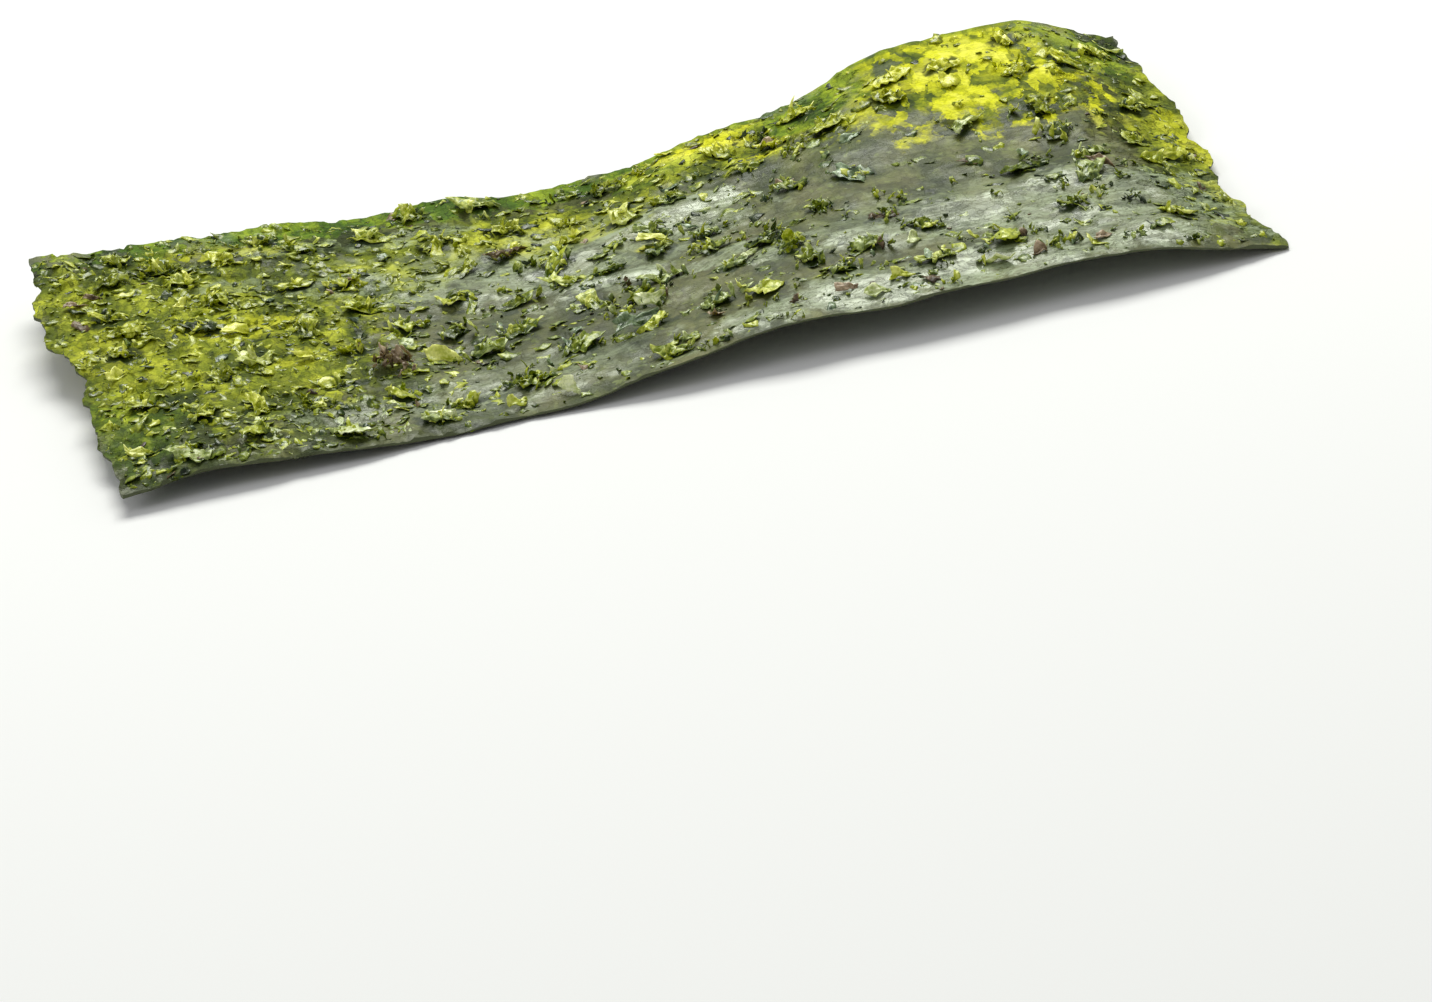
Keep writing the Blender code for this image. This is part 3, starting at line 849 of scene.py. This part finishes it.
def layOnSheet(bm, x, y, heading, embed, kind, tint, rng):
    # Turns the finished scrap, drapes it over the leaf and adds it to its kind's mesh
    lowest = min(vert.co.z for vert in bm.verts)
    highest = max(vert.co.z for vert in bm.verts) - lowest - embed
    room = ceiling - onSheet(x, y, 0.0).z
    if highest > room:
        for vert in bm.verts:
            vert.co.z = lowest + (vert.co.z - lowest) * max(room, leastRoom) / highest
    turn = Matrix.Rotation(heading, 2)
    layer = bm.verts.layers.float.new("tint")
    for vert in bm.verts:
        moved = turn @ vert.co.xy
        # painted shade at the scrap's root and painted light towards its tip
        tip = smoothStep(0.0, tints["paintedTipLightReach"], vert.co.z - lowest - embed)
        tone = tint + mix(*tints["paintedRootShadeTipLight"], tip) + rng.uniform(-tints["speckle"], tints["speckle"])
        vert[layer] = min(max(tone, 0.0), 1.0)
        vert.co = onSheet(x + moved.x, y + moved.y, vert.co.z - lowest - embed)
    scrap = bpy.data.meshes.new("scrap")
    bm.to_mesh(scrap)
    bm.free()
    flakeMeshes[kind].from_mesh(scrap)
    bpy.data.meshes.remove(scrap)


scrapRim = (0.35, 1.2)  # of its radius
scrapTear = 0.3


def tornScrap(rng, form, size, slim, number):
    # A many-sided disc with a torn rim, crumpled and tipped up
    bm = bmesh.new()
    points = rng.randint(*form["points"])
    bmesh.ops.create_circle(bm, cap_ends=True, cap_tris=True, radius=0.5, segments=points)
    for vert in bm.verts:
        if vert.is_boundary:
            vert.co *= rng.uniform(*scrapRim)
    bmesh.ops.scale(bm, verts=bm.verts[:], vec=(size, size * slim, 1.0))
    if form["cuts"]:
        bmesh.ops.subdivide_edges(bm, edges=bm.edges[:], cuts=form["cuts"], use_grid_fill=True,
                                  fractal=scrapTear, along_normal=0.0, seed=number)
    crumple(bm, form["folds"], number)
    tip = Matrix.Rotation(math.radians(rng.uniform(*form["lean"])), 4, "Y")
    bmesh.ops.transform(bm, matrix=tip, verts=bm.verts[:])
    return bm


largeScrap = {"points": (7, 10), "cuts": 1, "folds": ((0.17 * mm, 1.0 * mm), (0.05 * mm, 0.35 * mm)),
              "lean": (0.0, 15.0)}
smallScrap = {"points": (5, 7), "cuts": 0, "folds": ((0.14 * mm, 0.4 * mm),), "lean": (0.0, 30.0)}

tufts = {
    "seeds": (77, 78, 79),  # round the large flakes, and the places and draws of the small ones
    "scraps": (10, 18),
    "spread": 0.8 * mm,
    "size": (0.55 * mm, 1.75 * mm),
    "sizePower": 1.8,
    "slim": (0.3, 0.75),
    "lush": (0.45, 1.3),
    "height": 0.34 * mm,
    "heaping": (0.3, 1.0),
    "embed": 0.1 * mm,
    "bareness": 0.85,
    "ownKind": 0.5,
    "smallCount": 125,
    "smallScale": 0.55,
    "smallMargin": 1.0 * mm,
    "form": {"points": (5, 8), "cuts": 1, "folds": ((0.2 * mm, 0.6 * mm), (0.08 * mm, 0.25 * mm)),
             "lean": (12.0, 68.0)},
}
rimMargin = 0.5 * mm


def makeBigFlakes(rng):
    looks = random.Random(bigFlakes["looksSeed"])  # own draws, so that the forms stay as the solid has them
    for number, (x, y) in enumerate(tuftMiddles):
        heading = rng.uniform(0.0, fullTurn)
        bm = bmesh.new()
        bmesh.ops.create_grid(bm, x_segments=2, y_segments=2, size=0.5)
        curlChip(bm, rng)
        for vert in bm.verts:
            vert.co.z *= bigFlakes["lift"] * (1.0 - bigFlakes["flatten"] * smoothShare(x, y))
        bmesh.ops.triangulate(bm, faces=bm.faces[:])
        bmesh.ops.subdivide_edges(bm, edges=bm.edges[:], cuts=bigFlakes["cuts"], use_grid_fill=True,
                                  fractal=bigFlakes["tear"], along_normal=0.2, seed=number)
        crumple(bm, bigFlakes["folds"], number)
        kind = pickKind(looks, x, y)
        tint = bigFlakes["shade"] * patchTint(x, y, looks)
        # painted backlight: lighter on the glowing hump
        tint += bigFlakes["humpPaintedGlow"] * spotShare("hump", x, y)
        layOnSheet(bm, x, y, heading, bigFlakes["embed"], kind, tint, looks)


def smallTuftPlaces(rng):
    # Between the large flakes, on the smooth skin
    places = []
    while len(places) < tufts["smallCount"]:
        x = rng.uniform(-0.5, 0.5) * sheet["length"]
        y = rng.uniform(-0.5, 0.5) * sheet["width"]
        if onLeaf(x, y, tufts["smallMargin"]) and rng.random() > max(matShare(x, y), smoothShare(x, y)):
            places.append((x, y))
    return places


def makeTufts(middles, seed, scale):
    # Small scraps heaped on and round each middle
    rng = random.Random(seed)
    for number, middle in enumerate(middles):
        kind = pickKind(rng, *middle)
        lush = rng.uniform(*tufts["lush"])
        spread = tufts["spread"] * scale * lush
        bare = 1.0 - tufts["bareness"] * smoothShare(*middle)
        for part in range(int(rng.randint(*tufts["scraps"]) * scale * bare * lush)):
            x = rng.gauss(middle[0], spread)
            y = rng.gauss(middle[1], spread)
            if not onLeaf(x, y, rimMargin):
                continue
            away = math.hypot(x - middle[0], y - middle[1]) / (2.0 * spread)
            raised = tufts["height"] * scale * max(0.0, 1.0 - away ** 2) * rng.uniform(*tufts["heaping"])
            size = mix(*tufts["size"], rng.random() ** tufts["sizePower"]) * mix(1.0, scale, 0.5)
            bm = tornScrap(rng, tufts["form"], size, rng.uniform(*tufts["slim"]), number * 20 + part)
            own = kind if rng.random() < tufts["ownKind"] else pickKind(rng, x, y)
            heading = rng.uniform(0.0, fullTurn)
            layOnSheet(bm, x, y, heading, tufts["embed"] - raised, own, patchTint(x, y, rng), rng)


makeBigFlakes(flakeDraws)
makeTufts(tuftMiddles, tufts["seeds"][0], 1.0)
makeTufts(smallTuftPlaces(random.Random(tufts["seeds"][1])), tufts["seeds"][2], tufts["smallScale"])
print("large flakes and tufts laid")

# Torn scraps between the tufts: a carpet at the left, a few on the skin, and fine crumbs
looseScraps = (
    {"seed": 41, "count": 1700, "size": (1.0 * mm, 2.3 * mm), "slim": (0.4, 0.9), "embed": 0.16 * mm,
     "form": largeScrap, "bare": 0.14},
    {"seed": 42, "count": 1500, "size": (0.35 * mm, 0.95 * mm), "slim": (0.4, 1.0), "embed": 0.06 * mm,
     "form": smallScrap, "bare": 0.14},
)


def loosePlace(rng, bare):
    # Thick in the mat, and only a bare share of that on the smooth skin
    while True:
        x = rng.uniform(-0.52, 0.52) * sheet["length"]
        y = rng.uniform(-0.5, 0.5) * sheet["width"]
        share = mix(bare, 1.0, matShare(x, y)) * (1.0 - smoothShare(x, y))
        if rng.random() < share and onLeaf(x, y, rimMargin):
            return x, y


def makeLooseScraps(scraps):
    rng = random.Random(scraps["seed"])
    for number in range(scraps["count"]):
        x, y = loosePlace(rng, scraps["bare"])
        size = rng.uniform(*scraps["size"])
        bm = tornScrap(rng, scraps["form"], size, rng.uniform(*scraps["slim"]), number)
        kind = pickKind(rng, x, y)
        layOnSheet(bm, x, y, rng.uniform(0.0, fullTurn), scraps["embed"], kind, patchTint(x, y, rng), rng)


for scraps in looseScraps:
    makeLooseScraps(scraps)
print("loose scraps laid")

# The few that stand out, each with its own place, length and heading
bladeForm = {"points": (9, 9), "cuts": 2, "folds": ((0.3 * mm, 1.2 * mm), (0.1 * mm, 0.4 * mm)),
             "lean": (6.0, 14.0)}
singleScraps = (  # kind, x, y, length, slimness, heading, roll and tint
    ("lime", -18.9, -9.1, 3.3, 0.5, -50.0, 44.0, 0.9), ("lime", 1.6, 4.2, 3.6, 0.6, 8.0, 4.0, 0.95),
    ("lime", 30.2, 16.5, 3.2, 0.7, 60.0, 30.0, 1.0), ("mint", -4.4, -14.7, 6.4, 0.34, 32.0, 42.0, 0.28),
    ("mint", -9.6, -13.4, 2.4, 0.5, 70.0, 20.0, 0.4), ("mint", 20.0, 10.0, 2.4, 0.75, 20.0, 30.0, 0.9),
    ("brown", 37.3, -7.0, 3.0, 0.45, -58.0, 35.0, 0.6), ("brown", 13.6, 6.8, 2.6, 0.45, -50.0, 30.0, 0.75),
    ("brown", 1.6, -19.6, 2.6, 0.55, 95.0, 35.0, 0.85), ("brown", 28.1, -22.8, 2.4, 0.6, 10.0, 20.0, 0.8),
    ("brown", 12.1, -22.4, 2.4, 0.5, 5.0, 20.0, 0.9), ("brown", -46.0, 13.0, 2.6, 0.6, 15.0, 15.0, 0.85),
    ("brown", -44.2, 14.2, 2.4, 0.5, -10.0, 20.0, 0.6), ("brown", 33.0, -22.4, 2.0, 0.6, 25.0, 25.0, 0.95),
    ("brown", -9.6, -20.6, 2.0, 0.5, 70.0, 30.0, 0.95), ("brown", 14.8, 17.5, 2.4, 0.6, 25.0, 25.0, 0.95),
    # the four small pale scraps at 45.0, 12.0; 45.6, -4.7; 33.3, 24.6 and -2.9, 13.3 stand in for glints:
    # painted highlights
    ("pale", 45.0, 12.0, 0.9, 0.8, 10.0, 30.0, 1.0), ("pale", 45.6, -4.7, 0.9, 0.8, 50.0, 30.0, 1.0),
    ("pale", 33.3, 24.6, 1.0, 0.6, 0.0, 30.0, 1.0), ("pale", -2.9, 13.3, 1.0, 0.8, 0.0, 30.0, 1.0),
    ("lime", -34.2, 2.0, 4.4, 0.42, 14.0, 10.0, 0.85), ("lime", -37.4, 10.0, 2.4, 0.7, 30.0, 38.0, 0.95),
    ("lime", -28.9, -12.2, 2.6, 0.7, 20.0, 15.0, 0.75), ("pale", -11.0, -23.8, 3.0, 0.65, -50.0, 42.0, 1.0),
    ("pale", -21.6, -22.8, 2.8, 0.45, -45.0, 36.0, 0.9), ("lime", -45.2, -19.8, 3.0, 0.45, 10.0, 15.0, 0.75),
    ("lime", -29.7, -5.8, 3.0, 0.5, 20.0, 10.0, 0.8), ("lime", -15.8, -23.6, 2.4, 0.55, 40.0, 42.0, 0.7),
    ("lime", -45.0, -4.0, 2.2, 0.7, 30.0, 20.0, 0.95), ("olive", 41.7, -1.0, 3.2, 0.75, 40.0, 12.0, 0.6),
    ("lime", 16.5, -22.2, 2.4, 0.6, 10.0, 30.0, 0.85), ("lime", 32.1, -23.4, 2.6, 0.8, 70.0, 35.0, 0.8),
    ("pale", 24.6, -23.0, 2.6, 0.6, 160.0, 30.0, 0.8), ("pale", 19.3, -15.0, 2.4, 0.6, 45.0, 35.0, 0.8),
    ("pale", 14.3, -24.0, 2.6, 0.5, 5.0, 15.0, 0.75), ("mint", 32.3, -0.4, 1.8, 0.7, 80.0, 35.0, 0.9),
    ("pale", -1.7, -10.4, 3.4, 0.45, -50.0, 44.0, 0.8), ("olive", -0.4, -10.3, 3.0, 0.35, -110.0, 45.0, 0.35),
    ("mint", -11.6, -16.6, 1.8, 0.5, 80.0, 40.0, 0.6), ("lime", 4.8, -15.4, 2.2, 0.5, 80.0, 35.0, 0.85),
    ("pale", 7.0, -7.6, 2.2, 0.6, 20.0, 25.0, 0.85),
)
singles = {"seed": 5, "fold": 0.4, "embed": 0.03 * mm}  # each is bent along its middle like a gutter
brownCluster = {"seed": 9, "count": 32, "place": (-23.2, -10.2), "spread": 0.85, "size": (0.8, 1.8),
                "slim": (0.3, 0.7), "raise": (0.0, 0.8 * mm), "tint": (0.25, 1.0)}


def makeSingleScraps():
    rng = random.Random(singles["seed"])
    for number, (kind, x, y, length, slim, heading, roll, tint) in enumerate(singleScraps):
        bm = tornScrap(rng, bladeForm, length * mm, slim, number + 900)
        for vert in bm.verts:
            vert.co.z += singles["fold"] * abs(vert.co.y)
        bmesh.ops.transform(bm, matrix=Matrix.Rotation(math.radians(roll), 4, "X"), verts=bm.verts[:])
        layOnSheet(bm, x * mm, y * mm, math.radians(heading), singles["embed"], kind, tint, rng)


def makeBrownCluster():
    rng = random.Random(brownCluster["seed"])
    for number in range(brownCluster["count"]):
        x = rng.gauss(brownCluster["place"][0], brownCluster["spread"]) * mm
        y = rng.gauss(brownCluster["place"][1], brownCluster["spread"]) * mm
        size = rng.uniform(*brownCluster["size"]) * mm
        bm = tornScrap(rng, tufts["form"], size, rng.uniform(*brownCluster["slim"]), number + 700)
        raised = rng.uniform(*brownCluster["raise"])
        heading = rng.uniform(0.0, fullTurn)
        layOnSheet(bm, x, y, heading, -raised, "brown", rng.uniform(*brownCluster["tint"]), rng)


makeSingleScraps()
makeBrownCluster()
print("single scraps laid")

flakeLooks = {
    "lime": {"slot": "olive_flakes", "roughness": 0.34,
             "tones": ((0.07, 0.115, 0.001), (0.44, 0.5, 0.012), (0.92, 0.94, 0.26))},
    "olive": {"slot": "olive_flakes", "roughness": 0.34,
              "tones": ((0.02, 0.046, 0.001), (0.22, 0.285, 0.01), (0.72, 0.77, 0.19))},
    "pale": {"slot": "pale_flakes", "roughness": 0.32,
             "tones": ((0.05, 0.09, 0.01), (0.38, 0.46, 0.12), (0.9, 0.95, 0.56))},
    "mint": {"slot": "pale_flakes", "roughness": 0.3,
             "tones": ((0.02, 0.046, 0.018), (0.16, 0.23, 0.11), (0.56, 0.68, 0.48))},
    "dark": {"slot": "dark_flakes", "roughness": 0.38,
             "tones": ((0.006, 0.018, 0.001), (0.034, 0.06, 0.004), (0.12, 0.16, 0.014))},
    "brown": {"slot": "brown_flakes", "roughness": 0.42,
              "tones": ((0.036, 0.02, 0.006), (0.16, 0.104, 0.046), (0.52, 0.39, 0.27))},
}
flakePaintedGlow = (  # painted backlight of the flakes on the glowing places
    (0.15, (0.12, 0.15, 0.001)), (0.5, (0.56, 0.59, 0.006)), (0.85, (0.95, 0.94, 0.12)))


flakeFinish = {
    "shader": {"Specular IOR Level": 0.34, "Subsurface Weight": 0.2, "Subsurface Radius": (1.0, 1.0, 0.4),
               "Subsurface Scale": 0.15 * mm},
    "grain": 1300.0,
    "shares": {"tint": 0.62, "grain": 0.33},  # of the tone
    "stops": (0.15, 0.5, 0.85),
    # the kinds that take the painted backlight, and its shares in the Olive and Glow zones
    "glowKinds": ("lime", "olive", "pale"),
    "glowShares": {"Olive": 0.4, "Glow": 0.6},
    "bump": 0.02 * mm,
}


def flakeMaterial(kind):
    look, finish = flakeLooks[kind], flakeFinish
    settings = {"Roughness": look["roughness"], **finish["shader"]}
    material, tree, shader, coords = newMaterial(kind + "Flake", settings)
    fibres = placeGroup(tree, "fibres", coords, {"Per Metre": finish["grain"]})
    zoneMasks = placeGroup(tree, "zones", coords, {"Fray": leafLook["fray"]})
    tone = doMath(tree, "MULTIPLY", readAttribute(tree, "tint"), finish["shares"]["tint"])
    tone = doMath(tree, "MULTIPLY_ADD", fibres["Grain"], finish["shares"]["grain"], tone)
    colour = newRamp(tree, list(zip(finish["stops"], look["tones"])), tone)
    # painted backlight on the flakes in the Olive and Glow zones
    if kind in finish["glowKinds"]:
        warm = newRamp(tree, flakePaintedGlow, tone)
        share = doMath(tree, "MULTIPLY", zoneMasks["Olive"], finish["glowShares"]["Olive"])
        share = doMath(tree, "MULTIPLY_ADD", zoneMasks["Glow"], finish["glowShares"]["Glow"], share, clamp=True)
        colour = mixColours(tree, colour, warm, share)
    plug(tree, shader.inputs["Base Color"], colour)
    plug(tree, shader.inputs["Normal"], addBump(tree, finish["bump"], fibres["Grain"]))
    return material


for kind in kinds:
    piece = finishPiece(kind + "Flakes", flakeMeshes[kind], flakeMaterial(kind), 30.0)
    wall = piece.modifiers.new("thickness", "SOLIDIFY")
    wall.thickness = flakeThickness
    wall.offset = 0.0
    print(piece.name, "made:", len(piece.data.polygons), "faces")

studio = {
    "floorSize": 3.0,
    "floorColour": (0.87, 0.86, 0.89),
    "floorRoughness": 0.7,
    "worldColour": (0.97, 1.0, 0.96),
    "worldStrength": 0.4,
}

softboxes = (
    {"name": "backSoftbox", "place": (0.12, 0.55, 0.58), "size": (0.5, 0.36), "power": 6.6,
     "tone": (0.98, 1.0, 0.91)},
    {"name": "sideSoftbox", "place": (-0.7, -0.1, 0.5), "size": (0.4, 0.4), "power": 1.0,
     "tone": (1.0, 1.0, 1.0)},
)


def makeFloor():
    bm = bmesh.new()
    bmesh.ops.create_grid(bm, x_segments=1, y_segments=1, size=studio["floorSize"] / 2)
    mesh = bpy.data.meshes.new("floor")
    bm.to_mesh(mesh)
    bm.free()
    material = bpy.data.materials.new("studioFloor")
    material.use_nodes = True
    shader = material.node_tree.nodes["Principled BSDF"]
    shader.inputs["Base Color"].default_value = (*studio["floorColour"], 1.0)
    shader.inputs["Roughness"].default_value = studio["floorRoughness"]
    mesh.materials.append(material)
    floor = bpy.data.objects.new("floor", mesh)
    bpy.context.scene.collection.objects.link(floor)


def makeLights():
    world = bpy.data.worlds.new("studio")
    world.use_nodes = True
    background = world.node_tree.nodes["Background"]
    background.inputs["Color"].default_value = (*studio["worldColour"], 1.0)
    background.inputs["Strength"].default_value = studio["worldStrength"]
    bpy.context.scene.world = world
    for box in softboxes:
        light = bpy.data.lights.new(box["name"], "AREA")
        light.shape = "RECTANGLE"
        light.size, light.size_y = box["size"]
        light.energy = box["power"]
        light.color = box["tone"]
        lamp = bpy.data.objects.new(box["name"], light)
        lamp.location = box["place"]
        lamp.rotation_euler = (-Vector(box["place"])).to_track_quat("-Z", "Y").to_euler()
        bpy.context.scene.collection.objects.link(lamp)


view = {
    "place": (-81.58 * mm, -539.94 * mm, 193.29 * mm),
    "right": (0.96473, -0.21244, -0.15542),
    "up": (0.22038, 0.32898, 0.91826),
    "back": (-0.14395, -0.92013, 0.3642),
    "lens": 177.03,
    "sensor": 36.0,
}


def makeCamera():
    camera = bpy.data.cameras.new("camera")
    camera.lens = view["lens"]
    camera.sensor_width = view["sensor"]
    camera.clip_start = 0.05
    holder = bpy.data.objects.new("camera", camera)
    axes = Matrix((view["right"], view["up"], view["back"])).transposed().to_4x4()
    holder.matrix_world = Matrix.Translation(view["place"]) @ axes
    bpy.context.scene.collection.objects.link(holder)
    bpy.context.scene.camera = holder


makeFloor()
makeLights()
makeCamera()
bpy.context.scene.view_settings.view_transform = "Standard"
print("studio set")
